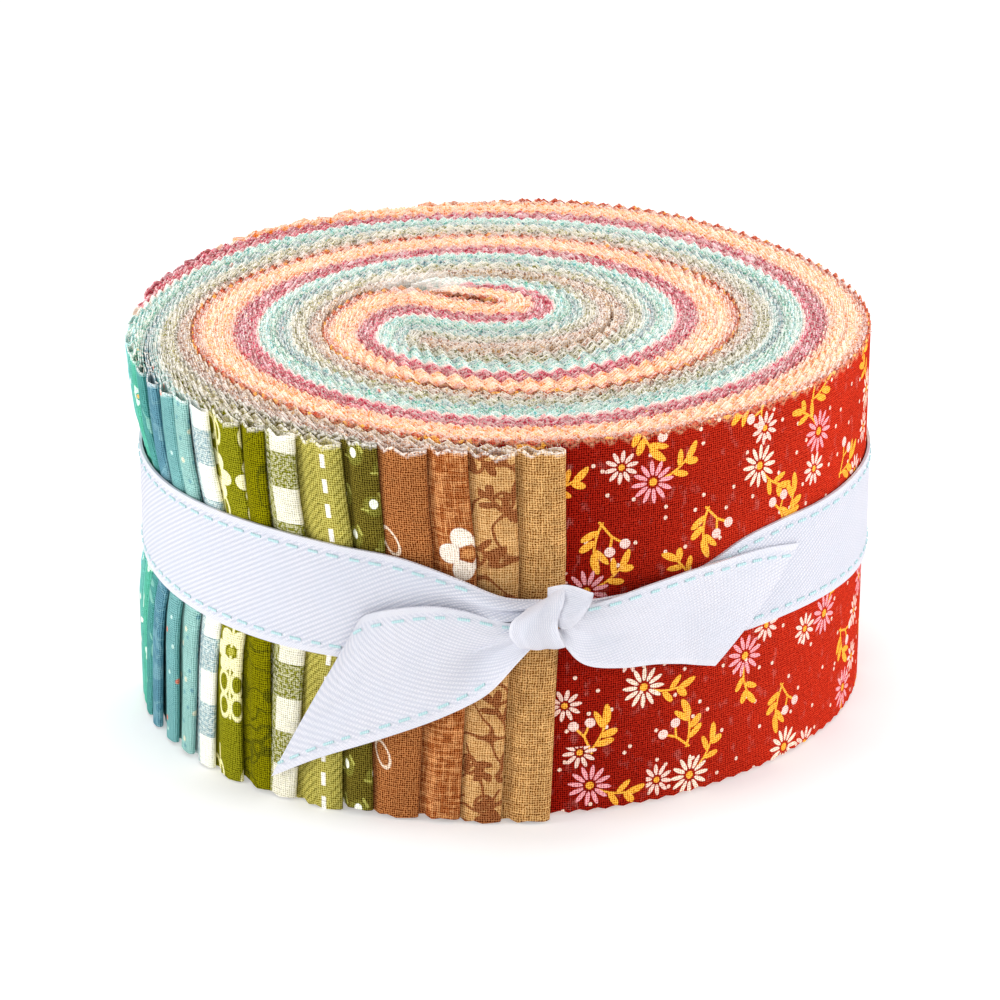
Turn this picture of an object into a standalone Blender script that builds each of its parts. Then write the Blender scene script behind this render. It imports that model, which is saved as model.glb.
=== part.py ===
"""A roll of quilting fabric strips tied with a tape.

Forty strips, each folded in half end to end, are laid in one stack. The stack starts in an S at
the centre and is wound into a flat spiral, with its folded ends stepped round the outside like
shingles. A woven tape goes round the side once and is tied in a plain overhand knot at the front.

Metres, +Z up. The roll stands on its lower cut edges at z = 0, and its front faces -Y.
Angles are taken round the winding's centre, from the front towards +X, and each full turn
outwards adds one TURN, so that an angle also says which turn of the spiral it is on.
"""

import math

import bmesh
import bpy
from mathutils import Vector

MM = 0.001
TURN = 2 * math.pi

# The strips
STRIP_COUNT = 40
STRIP_WIDTH = 63.5 * MM
FREE_GAP = 0.4 * MM

# The winding. Its seam is the line where one turn of the stack lies against the next.
WINDING_CENTRE = Vector((-0.5 * MM, -3.5 * MM))
SEAM_AT_FRONT = 34.5 * MM
STACK_THICKNESS = 21.0 * MM
SEAM_START = -TURN - 0.84
SEAM_STEP = math.radians(4)
NOSE_END = -TURN + 1.3
NOSE_SPREAD = 1.1 * MM
SQUARENESS = 0.8 * MM

# The S at the centre: the stack's first end, and the line where its outer face lies on itself.
FIRST_END = -2.38
LOBE_START = -1.8
CORE_SEAM = (  # x, y in mm, from the tight bend at the core outwards
    (-1.0, 6.0),
    (-5.0, 7.6),
    (-9.0, 9.6),
    (-13.0, 11.3),
    (-17.0, 12.3),
    (-21.0, 11.2),
    (-24.5, 8.0),
)
DOUBLED_ROWS = 5

# The folded ends. Strip 1 is innermost in the stack and its fold ends last, at the front.
FIRST_FOLD = math.radians(10)
WIDE_SPAN = math.radians(7)
NARROW_SPAN = math.radians(4.35)
WIDE_STRIPS = 15
FOLD_DEPTH_FRONT = 1.3 * MM
FOLD_DEPTH_BACK = 0.6 * MM
FOLD_PROFILE = (  # share of the way to the strip's own fold, share of the step risen
    (0.05, 0.00),
    (0.30, 0.75),
    (0.65, 1.00),
    (0.88, 0.90),
    (0.98, 0.50),
)
FOLD_OUTLINE = (  # angle in degrees, radius in mm of the folds' crests
    (180, 64.0),
    (197, 63.1),
    (212, 64.1),
    (240, 61.8),
    (262, 60.4),
    (285, 61.4),
    (305, 61.8),
    (325, 61.0),
    (345, 59.5),
    (360, 59.0),
    (372, 59.4),
)

# The tape
TAPE_THICKNESS = 1.0 * MM
TAPE_CLEARANCE = 0.35 * MM
ACROSS = 4
BAND = (  # angle in degrees, middle height, half width and lift off the roll in mm
    (15, 34.6, 3.6, 3.0),
    (24, 34.0, 7.2, 1.2),
    (36, 33.4, 9.2, 0.1),
    (60, 33.1, 9.5, 0.0),
    (90, 33.2, 9.5, 0.0),
    (180, 34.8, 9.5, 0.0),
    (270, 36.0, 9.5, 0.0),
    (335, 36.2, 9.5, 0.0),
    (346, 36.1, 8.8, 0.1),
    (354, 36.2, 6.6, 1.0),
    (362, 36.2, 3.4, 2.8),
)
BAND_STATIONS = 90
LEFT_TAIL = (  # each edge's angle in degrees, height and lift in mm, from the knot to the cut
    ((5.0, 37.5, 3.0), (5.0, 33.5, 3.0)),
    ((0.0, 37.6, 2.8), (1.0, 29.6, 2.6)),
    ((-5.0, 38.2, 2.4), (-3.0, 24.0, 2.0)),
    ((-10.0, 38.4, 2.1), (-9.0, 19.6, 1.2)),
    ((-16.0, 37.4, 1.9), (-19.0, 14.3, 0.8)),
    ((-20.5, 35.9, 1.8), (-29.0, 9.2, 0.6)),
    ((-22.0, 34.4, 1.8), (-38.5, 3.6, 0.6)),
)
RIGHT_TAIL = (
    ((11.5, 37.6, 3.2), (10.0, 32.6, 3.2)),
    ((16.0, 38.9, 2.6), (12.5, 29.0, 2.8)),
    ((22.0, 39.6, 2.2), (17.0, 27.0, 2.4)),
    ((30.0, 39.9, 1.9), (23.0, 26.1, 2.0)),
    ((38.0, 40.2, 1.8), (28.0, 24.7, 1.8)),
    ((46.0, 39.8, 1.7), (32.0, 23.4, 1.7)),
    ((54.0, 38.2, 1.7), (35.5, 22.4, 1.7)),
)
TAIL_STATIONS = 14
KNOT_LOBES = (  # angle and tilt in degrees, height and lift of the middle, half sizes in mm
    {"angle": 6.4, "tilt": 16, "height": 36.6, "lift": 3.9, "half": (3.7, 3.4, 5.6)},
    {"angle": 11.4, "tilt": -52, "height": 37.4, "lift": 3.5, "half": (2.9, 3.0, 4.4)},
)
KNOT_SIDES = 16


def make_material(name, colour, roughness):
    material = bpy.data.materials.new(name)
    material.use_nodes = True
    shader = material.node_tree.nodes["Principled BSDF"]
    shader.inputs["Base Color"].default_value = (*colour, 1)
    shader.inputs["Roughness"].default_value = roughness
    shader.inputs["Metallic"].default_value = 0
    return material


def make_collection(name):
    collection = bpy.data.collections.new(name)
    bpy.context.scene.collection.children.link(collection)
    return collection


def smooth_row(rows, where):
    """The other columns of a table at a value of its first one, on a smooth curve through its rows."""
    last = len(rows) - 2
    index = min(max(sum(row[0] <= where for row in rows) - 1, 0), last)
    start, end = rows[index], rows[index + 1]
    before, after = rows[max(index - 1, 0)], rows[min(index + 2, last + 1)]
    span = end[0] - start[0]
    share = (where - start[0]) / span
    result = []
    for column in range(1, len(start)):
        slope_in = span * (end[column] - before[column]) / (end[0] - before[0])
        slope_out = span * (after[column] - start[column]) / (after[0] - start[0])
        result.append(
            start[column] * (1 + 2 * share) * (1 - share) ** 2
            + slope_in * share * (1 - share) ** 2
            + end[column] * share**2 * (3 - 2 * share)
            + slope_out * share**2 * (share - 1)
        )
    return result


def spot(angle, radius):
    """The plan point at an angle from the front and a distance from the winding's centre."""
    return WINDING_CENTRE + radius * Vector((math.sin(angle), -math.cos(angle)))


def seam_radius(angle):
    """The seam's distance from the winding's centre, at an angle that counts whole turns."""
    radius = SEAM_AT_FRONT + STACK_THICKNESS * angle / TURN
    nose = NOSE_SPREAD * max(0.0, NOSE_END - angle) ** 2
    outer_share = min(max((radius - SEAM_AT_FRONT) / STACK_THICKNESS, 0.0), 1.0)
    return radius + nose + SQUARENESS * outer_share * math.cos(4 * angle)


def fold_angle(strip):
    """Where a strip's fold lies. The spans narrow over the first strips and then stay even."""
    angle = FIRST_FOLD
    for passed in range(strip - 1):
        share = min(passed / (WIDE_STRIPS - 1), 1.0)
        angle -= WIDE_SPAN + share * (NARROW_SPAN - WIDE_SPAN)
    return angle + TURN


def fold_radius(angle):
    return smooth_row(FOLD_OUTLINE, math.degrees(angle))[0] * MM


def fold_depth(angle):
    front_share = max(0.0, math.cos(angle))
    return FOLD_DEPTH_BACK + front_share * (FOLD_DEPTH_FRONT - FOLD_DEPTH_BACK)


def seam_run(start, end, offset):
    """Points along the seam from one angle to another, off to one side of it."""
    steps = max(2, round(abs(end - start) / SEAM_STEP))
    angles = [start + (end - start) * step / steps for step in range(steps + 1)]
    return [spot(angle, seam_radius(angle) + offset) for angle in angles]


def folded_ends():
    """The stepped outside of the roll, from the outermost strip's fold round to the innermost's."""
    points = []
    for strip in range(STRIP_COUNT - 1, 0, -1):
        start, end = fold_angle(strip + 1), fold_angle(strip)
        for share, risen in FOLD_PROFILE:
            angle = start + share * (end - start)
            sunk = (1 - risen) * fold_depth(angle)
            points.append(spot(angle, fold_radius(angle) - sunk))
    return points


def core_side(rows, offset):
    """One side of the line at the core where the stack's outer face lies on itself."""
    line = [Vector(row) * MM for row in rows]
    points = []
    for index, point in enumerate(line):
        ahead = line[min(index + 1, len(line) - 1)]
        behind = line[max(index - 1, 0)]
        along = (ahead - behind).normalized()
        points.append(point + offset * Vector((along.y, -along.x)))
    return points


def stack_outline():
    """The wound stack in plan, as one closed outline."""
    half_gap = FREE_GAP / 2
    innermost_face = seam_run(fold_angle(1), SEAM_START, half_gap)
    tight_bend = [spot(SEAM_START - half_gap / seam_radius(SEAM_START), seam_radius(SEAM_START))]
    first_arm = seam_run(SEAM_START, FIRST_END, -half_gap)
    arm_inside = core_side(CORE_SEAM[:DOUBLED_ROWS], half_gap)[::-1]
    lobe_outside = core_side(CORE_SEAM, -half_gap)
    outermost_face = seam_run(LOBE_START, fold_angle(STRIP_COUNT) + TURN, -half_gap)
    return (
        folded_ends()
        + innermost_face
        + tight_bend
        + first_arm
        + arm_inside
        + lobe_outside
        + outermost_face
    )


def make_roll(collection, material):
    curve = bpy.data.curves.new("strip_roll", "CURVE")
    curve.dimensions = "2D"
    curve.fill_mode = "BOTH"
    curve.extrude = STRIP_WIDTH / 2
    outline = stack_outline()
    spline = curve.splines.new("POLY")
    spline.points.add(len(outline) - 1)
    for point, place in zip(spline.points, outline):
        point.co = (*place, 0, 1)
    spline.use_cyclic_u = True
    curve.materials.append(material)
    roll = bpy.data.objects.new("strip_roll", curve)
    roll.location.z = STRIP_WIDTH / 2
    collection.objects.link(roll)
    return roll


def roll_radius(angle):
    """The roll's outer radius at an angle from the front, between 0 and one TURN."""
    if angle <= math.pi:
        return seam_radius(angle + TURN)
    share = min((angle - math.pi) / math.radians(12), 1.0)
    step = seam_radius(fold_angle(STRIP_COUNT) + TURN) - fold_radius(angle)
    return fold_radius(angle) + step * (1 - share) ** 2 * (1 + 2 * share)


def on_roll(degrees, height, lift):
    """A point off the roll's side, with the angle in degrees and the height and lift in mm."""
    angle = math.radians(degrees % 360)
    if angle < FIRST_FOLD:
        angle += TURN
    base = fold_radius(angle) if angle > TURN else roll_radius(angle)
    if FIRST_FOLD <= angle < math.pi / 6:
        share = (angle - FIRST_FOLD) / (math.pi / 6 - FIRST_FOLD)
        base += (1 - share) * (fold_radius(FIRST_FOLD + TURN) - base)
    place = spot(angle, base + TAPE_CLEARANCE + lift * MM)
    return Vector((*place, height * MM))


def make_sheet(name, rows, collection, material):
    """A sheet of the tape's thickness, outwards from a surface through rows of points."""
    mesh = bpy.data.meshes.new(name)
    shape = bmesh.new()
    grid = [[shape.verts.new(point) for point in row] for row in rows]
    for lower, upper in zip(grid, grid[1:]):
        for step in range(len(lower) - 1):
            shape.faces.new((lower[step], upper[step], upper[step + 1], lower[step + 1]))
    shape.normal_update()
    shape.to_mesh(mesh)
    shape.free()
    mesh.materials.append(material)
    sheet = bpy.data.objects.new(name, mesh)
    collection.objects.link(sheet)
    solidify = sheet.modifiers.new("Thickness", "SOLIDIFY")
    solidify.thickness = TAPE_THICKNESS
    solidify.offset = 1
    return sheet


def band_rows():
    """The tape round the side, from the right of the knot by the back to its left."""
    first, last = BAND[0][0], BAND[-1][0]
    rows = []
    for station in range(BAND_STATIONS + 1):
        degrees = first + (last - first) * station / BAND_STATIONS
        height, half_width, lift = smooth_row(BAND, degrees)
        rows.append(
            [
                on_roll(degrees, height + half_width * (2 * step / ACROSS - 1), lift)
                for step in range(ACROSS + 1)
            ]
        )
    return rows


def tail_rows(edges):
    """A tail of the tape, as rows from one edge to the other, from the knot to the slanted cut."""
    upper = [(index, *top) for index, (top, _) in enumerate(edges)]
    lower = [(index, *bottom) for index, (_, bottom) in enumerate(edges)]
    rows = []
    for station in range(TAIL_STATIONS + 1):
        where = (len(edges) - 1) * station / TAIL_STATIONS
        top, bottom = smooth_row(upper, where), smooth_row(lower, where)
        row = []
        for step in range(ACROSS + 1):
            share = step / ACROSS
            row.append(on_roll(*(a + share * (b - a) for a, b in zip(bottom, top))))
        rows.append(row)
    return rows


def make_lobe(name, lobe, collection, material):
    bpy.ops.mesh.primitive_uv_sphere_add(segments=KNOT_SIDES, ring_count=KNOT_SIDES // 2, radius=1)
    ball = bpy.context.object
    ball.name = name
    ball.data.materials.append(material)
    ball.location = on_roll(lobe["angle"], lobe["height"], lobe["lift"])
    ball.rotation_euler = (0, math.radians(lobe["tilt"]), math.radians(lobe["angle"]))
    ball.scale = Vector(lobe["half"]) * MM
    ball.data.shade_smooth()
    for owner in ball.users_collection:
        owner.objects.unlink(ball)
    collection.objects.link(ball)
    return ball


def make_ribbon(parts, joined, material):
    """The tape as one solid: the band, with the knot and both tails joined to it."""
    ribbon = make_sheet("ribbon", band_rows(), parts, material)
    pieces = [
        make_sheet("left_tail", tail_rows(LEFT_TAIL)[::-1], joined, material),
        make_sheet("right_tail", tail_rows(RIGHT_TAIL), joined, material),
    ]
    for number, lobe in enumerate(KNOT_LOBES, start=1):
        pieces.append(make_lobe(f"knot_lobe_{number}", lobe, joined, material))
    for piece in pieces:
        piece.hide_render = True
        piece.display_type = "WIRE"
        union = ribbon.modifiers.new(f"Join {piece.name}", "BOOLEAN")
        union.operation = "UNION"
        union.object = piece
    return ribbon


def main():
    for old in list(bpy.data.objects):
        bpy.data.objects.remove(old, do_unlink=True)
    parts = make_collection("quilting strip roll")
    joined = make_collection("joined into the ribbon")
    red_cotton = make_material("red print cotton", (0.42, 0.035, 0.02), 0.9)
    white_tape = make_material("white twill tape", (0.86, 0.87, 0.9), 0.75)
    make_roll(parts, red_cotton)
    make_ribbon(parts, joined, white_tape)


main()
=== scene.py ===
"""A roll of forty folded quilting strips tied with a woven tape, in soft studio light.

Lengths are in millimetres where they are worked out and in metres on the finished pieces.
Angles are taken round the winding's centre, from the front (-Y) towards +X, and each full
turn outwards adds one TURN, so that an angle also says which turn of the spiral it is on.
"""

import math

import bmesh
import bpy
import numpy as np
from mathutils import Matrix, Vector


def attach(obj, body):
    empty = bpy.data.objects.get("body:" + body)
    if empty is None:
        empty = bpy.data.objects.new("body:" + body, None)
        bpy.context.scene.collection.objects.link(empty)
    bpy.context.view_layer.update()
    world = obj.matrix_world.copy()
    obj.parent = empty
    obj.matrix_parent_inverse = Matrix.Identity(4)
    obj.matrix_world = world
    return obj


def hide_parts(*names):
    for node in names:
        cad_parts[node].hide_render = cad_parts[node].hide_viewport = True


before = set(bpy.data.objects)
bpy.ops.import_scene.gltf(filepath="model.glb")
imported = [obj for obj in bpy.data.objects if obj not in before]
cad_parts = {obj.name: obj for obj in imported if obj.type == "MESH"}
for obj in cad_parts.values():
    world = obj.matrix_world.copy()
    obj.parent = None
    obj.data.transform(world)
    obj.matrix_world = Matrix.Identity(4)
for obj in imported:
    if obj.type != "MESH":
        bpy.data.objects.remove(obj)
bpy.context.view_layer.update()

MM = 0.001
TURN = 2 * math.pi

# ---- the winding, as in the solid

STRIP_COUNT = 40
STRIP_WIDTH = 63.5
WINDING_CENTRE = np.array((-0.5, -3.5))
SEAM_AT_FRONT = 34.5
STACK_THICKNESS = 21.0
NOSE_END = -TURN + 1.3
NOSE_SPREAD = 1.1
SQUARENESS = 0.8
FIRST_FOLD = math.radians(10)
WIDE_SPAN = math.radians(7)
NARROW_SPAN = math.radians(4.35)
WIDE_STRIPS = 15
# Degrees by which the first folds lie further round than their even spans would put them.
FOLD_SHIFTS = (0.45, 0.9, 0.9, 0.45, 1.9, 0.5, 1.6, 1.7, 0.7, 1.0, 0.7)
FOLD_OUTLINE = (  # angle in degrees, radius of the folds' crests
    (180, 64.0), (197, 63.1), (212, 64.1), (240, 61.9), (262, 60.6), (285, 61.5),
    (305, 61.8), (325, 61.0), (345, 59.5), (360, 59.0), (372, 59.4),
)
FOLD_HOLLOW = (  # share of the way to the next fold, share of the groove's depth
    (0.0, 1.0), (0.05, 0.9), (0.14, 0.55), (0.26, 0.24),
    (0.4, 0.06), (0.6, 0.0), (0.82, 0.03), (1.0, 0.08),
)
GROOVE_FRONT = 1.5  # depth of the grooves between the folded ends
GROOVE_BACK = 1.1
GROOVE_SHARE = 0.7  # the most of the stack that a groove may take
LAST_FOLD_EASE = 0.7  # how far before the outermost fold the stack starts to draw in

# Rungs across the stack at the core: x, y on its tan face and x, y on its red face.
CORE_RUNGS = (
    (-18.4, 16.0, -17.0, 12.6),
    (-15.0, 18.1, -13.5, 11.5),
    (-10.2, 19.7, -10.0, 10.3),
    (0.0, 20.0, -5.0, 8.5),
    (10.0, 16.5, -1.5, 7.0),
    (16.0, 9.0, -1.0, 6.5),
    (18.0, 0.0, -1.0, 6.0),
    (15.0, -9.0, -1.5, 5.5),
    (8.0, -15.0, -4.0, 6.0),
    (0.0, -17.5, -8.0, 8.0),
    (-7.0, -17.0, -12.0, 10.5),
    (-11.0, -15.0, -17.0, 13.0),
    (-12.3, -14.0, -24.0, 9.0),
    (-12.0, -14.3, -29.0, -2.0),
    (-11.5, -15.0, -29.5, -12.0),
    (-9.0, -17.0, -25.5, -22.0),
    (-5.0, -18.3, -18.0, -31.0),
)
RAW_ENDS = (  # share across the stack, rung at which the strips' raw ends lie
    (0.0, 3.9), (0.12, 3.8), (0.2, 3.4), (0.26, 1.6), (0.45, 0.8),
    (0.52, 2.6), (0.62, 3.2), (0.72, 2.2), (0.86, 1.7), (1.0, 1.4),
)
RAW_END_SCATTER = 0.25  # in rungs
CORE_STEPS = 60  # points of a layer from one rung to the next
SPIRAL_STEP = 0.012  # angle between its points further out

# ---- the cut edges

CLOTH = 0.2
LEAF_INSET = 0.13  # from the line between two strips to the middle of the next leaf
LOOP_REACH = 1.3  # the furthest that a fold's loop comes forward
NOTCH_PITCH = 3.0
NOTCH_DEPTH = 1.15
NOTCH_AT_FOOT = 0.45  # how much of the notches shows where the roll stands on them
NOTCH_WEAR = 0.22  # the most that a notch's tip or root has lost of the depth
NOTCHES_LEVEL = -TURN + 0.26  # where the notches of all the strips lie side by side
SLIP_GROWTH = 90.0  # how far along the cloth the notches keep level
SLIP = 0.8  # how many notches they are out of level by then
ROWS = 12
SHINGLE_REACH = 10.0  # how much of a leaf beside its fold follows the fold's swell closely
SHINGLE_STEP = 0.5
FOLD_REACH = 30.0  # how much of a leaf beside its fold is modelled in rows
RED_REACH = 215.0  # and how much of the outermost leaf, which shows all along the side
EDGE_WAVE, WAVE_LENGTH = 0.22, 37  # how the upper edges rise and fall along the cloth
EDGE_SCATTER, EDGE_RISE = 0.12, 0.3

RANDOM = np.random.default_rng(7)


def spot(angle, radius):
    """Plan points at an angle from the front and a distance from the winding's centre."""
    return WINDING_CENTRE + np.stack([radius * np.sin(angle), -radius * np.cos(angle)], -1)


def smooth_columns(rows, where):
    """A table's other columns at values of its first, on smooth curves through its rows."""
    x, *columns = np.array(rows, float).T
    index = np.clip(np.searchsorted(x, where, side="right") - 1, 0, len(x) - 2)
    span = x[index + 1] - x[index]
    share = np.clip((where - x[index]) / span, 0, 1)
    curves = []
    for y in columns:
        slope = np.gradient(y, x)
        curves.append(
            y[index] * (1 + 2 * share) * (1 - share) ** 2
            + span * slope[index] * share * (1 - share) ** 2
            + y[index + 1] * share**2 * (3 - 2 * share)
            + span * slope[index + 1] * share**2 * (share - 1)
        )
    return curves


def seam_radius(angle):
    """The seam between one turn of the stack and the next."""
    radius = SEAM_AT_FRONT + STACK_THICKNESS * angle / TURN
    nose = NOSE_SPREAD * np.maximum(0.0, NOSE_END - angle) ** 2
    outer_share = np.clip((radius - SEAM_AT_FRONT) / STACK_THICKNESS, 0, 1)
    return radius + nose + SQUARENESS * outer_share * np.cos(4 * angle)


def fold_angles():
    """Where each strip's fold lies, strip 1 first. The spans narrow over the first strips."""
    angle = FIRST_FOLD + TURN
    angles = []
    for strip in range(STRIP_COUNT):
        angles.append(angle)
        share = min(strip / (WIDE_STRIPS - 1), 1.0)
        angle -= WIDE_SPAN + share * (NARROW_SPAN - WIDE_SPAN)
    angles = np.array(angles)
    angles[: len(FOLD_SHIFTS)] -= np.radians(FOLD_SHIFTS)
    return angles


FOLDS = fold_angles()


def shingle(angle):
    """How many strips the stack holds at an angle, and how far it is from one fold to the next."""
    ends = np.concatenate([[FOLDS[-1] - NARROW_SPAN], FOLDS[::-1]])
    passed = np.clip(np.searchsorted(ends, angle, side="right"), 1, STRIP_COUNT)
    share = (angle - ends[passed - 1]) / (ends[passed] - ends[passed - 1])
    return STRIP_COUNT + 1 - passed, np.clip(share, 0, 1)


def roll_radius(angle):
    """The crests' outline, drawn in a little before the outermost fold."""
    wound = seam_radius(angle + TURN)
    (crest,) = smooth_columns(FOLD_OUTLINE, np.degrees(np.maximum(angle, math.pi)))
    ease = np.clip((angle - math.pi + LAST_FOLD_EASE) / LAST_FOLD_EASE, 0, 1)
    return wound + ease**2 * (3 - 2 * ease) * (crest - wound)


def layer_radius(strip, angle):
    """The outer face of a strip, counted from the stack's tan face, at angles on the spiral."""
    inner, crest = seam_radius(angle), roll_radius(angle)
    left, share = shingle(angle)
    groove = GROOVE_BACK + (GROOVE_FRONT - GROOVE_BACK) * np.maximum(0, np.cos(angle))
    thickness = crest - inner
    groove = np.minimum(np.maximum(groove, thickness / left), thickness * GROOVE_SHARE)
    started = np.clip((angle - FOLDS[-1]) / NARROW_SPAN + 1, 0, 1)
    covered = inner + (crest - groove * started - inner) * strip / (left - share * (started > 0))
    hollow = np.where(left < STRIP_COUNT, np.interp(share, *np.array(FOLD_HOLLOW).T), 0)
    return np.where(strip >= left, crest - hollow * groove, covered)


def inner_face(strip, angle):
    """The face of a strip towards the centre."""
    return seam_radius(angle) if strip == 1 else layer_radius(strip - 1, angle)


def core_curve(share):
    """The line of a layer through the core, at a share of the way across the stack."""
    rungs = np.array(CORE_RUNGS)
    angles = -TURN + np.array((0.0, 0.35, 0.7))
    entry = np.hstack(
        [spot(angles, seam_radius(angles)), spot(angles, seam_radius(angles + TURN))]
    )
    ladder = np.vstack([rungs[:1], rungs, entry])
    points = ladder[:, :2] + share * (ladder[:, 2:] - ladder[:, :2])
    scatter = RANDOM.uniform(-RAW_END_SCATTER, RAW_END_SCATTER)
    start = np.interp(share, *np.array(RAW_ENDS).T) + scatter
    where = np.linspace(start, len(rungs), CORE_STEPS * (len(rungs) - int(start)))
    numbered = np.column_stack([np.arange(len(points)) - 1, points])
    return np.stack(smooth_columns(numbered, where), -1)


def arc_lengths(points):
    return np.concatenate([[0], np.cumsum(np.linalg.norm(np.diff(points, axis=0), axis=1))])


def leaf(strip, outer, end_angle):
    """One leaf of a strip from its raw end to where the fold begins: points, and notch phase."""
    share = (strip - (0.25 if outer else 0.75)) / STRIP_COUNT
    angles = np.arange(-TURN, end_angle, SPIRAL_STEP)
    angles = np.append(angles[:-1], end_angle)
    face = layer_radius if outer else inner_face
    radius = face(strip, angles) + (-LEAF_INSET if outer else LEAF_INSET)
    core = core_curve(share)
    points = np.vstack([core[:-1], spot(angles, radius)])
    lengths = arc_lengths(points)
    level_at = np.interp(NOTCHES_LEVEL, angles, lengths[len(core) - 1 :])
    away = lengths - level_at
    slip = RANDOM.uniform(-SLIP, SLIP) * np.minimum(np.abs(away) / SLIP_GROWTH, 1.5) ** 2
    phase = away / NOTCH_PITCH + slip + RANDOM.normal(0, 0.03)
    return points, lengths, phase


def notch_stations(points, lengths, phase):
    """A leaf's points at the tips and the roots of its notches, from its raw end to its fold."""
    halves = np.arange(math.ceil(phase[0] * 2) + 1, math.floor(phase[-1] * 2))
    at = np.interp(halves / 2, phase, lengths)
    worn = RANDOM.uniform(0.0, NOTCH_WEAR, len(halves))
    notch = np.where(halves % 2 == 1, 1 - worn, worn)
    at = np.concatenate([[0], at, [lengths[-1]]])
    notch = np.concatenate([[0.5], notch, [0.5]])
    fine = np.arange(lengths[-1] - SHINGLE_REACH, lengths[-1], SHINGLE_STEP)
    every = np.unique(np.concatenate([at, fine]))
    at, notch = every, np.interp(every, at, notch)
    place = np.stack([np.interp(at, lengths, points[:, axis]) for axis in (0, 1)], -1)
    return place, notch


def fold_cap(strip):
    """The loop at a strip's fold: where its two leaves end, and the points between."""
    angle = FOLDS[strip - 1] - 1e-6
    inner = inner_face(strip, angle) + LEAF_INSET
    outer = layer_radius(strip, angle) - LEAF_INSET
    middle, half = (inner + outer) / 2, (outer - inner) / 2
    reach = min(0.9 * half + 0.25, LOOP_REACH)
    turn = np.radians(np.arange(-75, 76, 15))
    cap = spot(angle - (1 - np.cos(turn)) * reach / middle, middle + half * np.sin(turn))
    return angle - reach / middle, cap


def strip_path(strip):
    """A strip's whole line in plan, out along its inner leaf, round its fold and back."""
    end, cap = fold_cap(strip)
    inner, inner_notch = notch_stations(*leaf(strip, False, end))
    outer, outer_notch = notch_stations(*leaf(strip, True, end))
    place = np.vstack([inner, cap, outer[::-1]])
    notch = np.concatenate([inner_notch, np.full(len(cap), 0.5), outer_notch[::-1]])
    along = arc_lengths(place)
    along -= along[len(inner) + len(cap) // 2]
    return place, notch, along


def piece(name, data):
    """An object at the origin, in the scene."""
    thing = bpy.data.objects.new(name, data)
    bpy.context.scene.collection.objects.link(thing)
    return thing


def line_mesh(name, points, values, closed=False):
    """A mesh of one line of points, with named values and vectors on them."""
    mesh = bpy.data.meshes.new(name)
    count = len(points)
    edges = [(i, (i + 1) % count) for i in range(count if closed else count - 1)]
    mesh.from_pydata([tuple(p) for p in points], edges, [])
    for key, value in values.items():
        value = np.asarray(value, np.float32)
        kind = "FLOAT" if value.ndim == 1 else "FLOAT_VECTOR"
        layer = mesh.attributes.new(key, kind, "POINT")
        layer.data.foreach_set("value" if kind == "FLOAT" else "vector", value.ravel())
    return piece(name, mesh)


def strip_line(strip):
    """A strip's line, with what the winding tree needs to know at each of its points."""
    place, notch, along = strip_path(strip)
    middle = place - WINDING_CENTRE
    outwards = middle / np.linalg.norm(middle, axis=1)[:, None]
    onwards = np.stack([-outwards[:, 1], outwards[:, 0]], -1)
    near_fold = np.clip(1 - np.abs(along) / FOLD_REACH, 0, 1)
    shown = np.abs(along) < FOLD_REACH
    if strip == STRIP_COUNT:
        shown |= (along > 0) & (along < RED_REACH)
    wave = EDGE_WAVE * np.sin(along / WAVE_LENGTH + RANDOM.uniform(0, TURN))
    wave = wave + RANDOM.normal(0, EDGE_SCATTER)
    flat = np.zeros((len(place), 1))
    return line_mesh(
        f"line_{strip:02d}",
        np.hstack([place, flat]) * MM,
        {
            "notch": notch,
            "along": along,
            "shown": shown.astype(float),
            "lift": (wave + EDGE_RISE) * MM,
            "onwards": np.hstack([onwards * near_fold[:, None] ** 0.5, flat]),
            "outwards": np.hstack([outwards * near_fold[:, None], flat]),
        },
    )


# ---- node trees


class Field:
    """A number that varies from place to place. Sums written with it become nodes."""

    def __init__(self, nodes, socket):
        self.nodes, self.socket = nodes, socket

    def __rsub__(self, other):
        return self.nodes.math("SUBTRACT", other, self)

    def __pow__(self, other):
        return self * self if other == 2.0 else self.nodes.math("POWER", self, other)

    def __neg__(self):
        return self * -1.0

    def __abs__(self):
        return self.nodes.math("ABSOLUTE", self)


for sign, operation in {
    "add": "ADD", "radd": "ADD", "sub": "SUBTRACT", "mul": "MULTIPLY", "rmul": "MULTIPLY",
    "truediv": "DIVIDE", "mod": "FLOORED_MODULO", "lt": "LESS_THAN", "gt": "GREATER_THAN",
}.items():
    setattr(Field, f"__{sign}__", lambda a, b, made=operation: a.nodes.math(made, a, b))


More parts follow.
